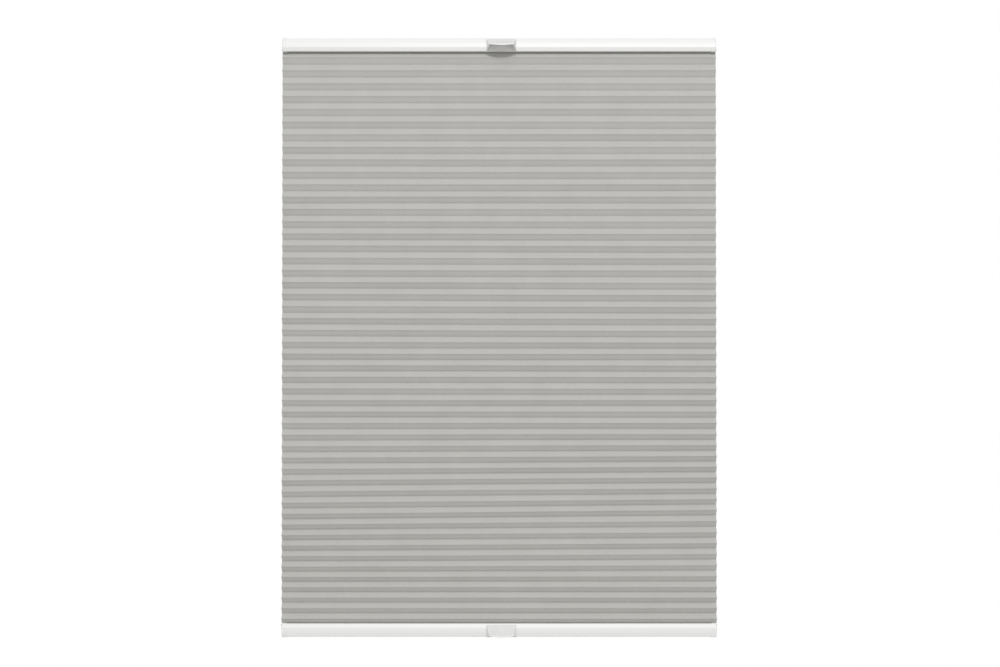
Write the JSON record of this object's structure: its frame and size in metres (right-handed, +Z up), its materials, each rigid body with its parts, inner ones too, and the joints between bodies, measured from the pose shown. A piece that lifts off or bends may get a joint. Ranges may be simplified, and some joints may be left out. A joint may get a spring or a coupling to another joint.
{
  "type": "pleated blind",
  "caption": "Tensioned pleated blind: cellular warm grey cloth drawn out between two slim white rails, each with a clip-on finger pull.",
  "frame": {"origin": "middle of the upper rail's flat top face", "axes": "+Z up, X along the rails, -Y faces the room"},
  "size_m": [0.7524, 0.0568, 1.0366],
  "materials": {
    "powder_coated_aluminium": "satin",
    "moulded_white_plastic": "satin",
    "inner_grey_plastic": "matte",
    "spring_steel": "drawn wire",
    "cell_cloth": "non-woven polyester, matt"
  },
  "bodies": {
    "upper_rail_group": {"cell_fabric": "cell_cloth", "spring_anchor": "inner_grey_plastic", "spring_hook_left": "inner_grey_plastic", "spring_hook_right": "inner_grey_plastic", "tension_spring_left": "spring_steel", "tension_spring_right": "spring_steel", "top_cord_guide_left": "inner_grey_plastic", "top_cord_guide_right": "inner_grey_plastic", "top_end_cap_left": "moulded_white_plastic", "top_end_cap_right": "moulded_white_plastic", "top_eyelet_left": "moulded_white_plastic", "top_eyelet_right": "moulded_white_plastic", "top_fabric_strip": "inner_grey_plastic", "top_handle": "moulded_white_plastic", "top_rail": "powder_coated_aluminium"},
    "lower_rail_group": {"bottom_cord_guide_left": "inner_grey_plastic", "bottom_cord_guide_right": "inner_grey_plastic", "bottom_end_cap_left": "moulded_white_plastic", "bottom_end_cap_right": "moulded_white_plastic", "bottom_eyelet_left": "moulded_white_plastic", "bottom_eyelet_right": "moulded_white_plastic", "bottom_fabric_strip": "inner_grey_plastic", "bottom_handle": "moulded_white_plastic", "bottom_rail": "powder_coated_aluminium"}
  },
  "joints": [
    {"name": "bottom_rail_slide", "type": "slide", "parent": "upper_rail_group", "child": "lower_rail_group", "axis": [0, 0, 1], "range_m": [0, 0.912], "deforming": ["cell_fabric"]}
  ]
}
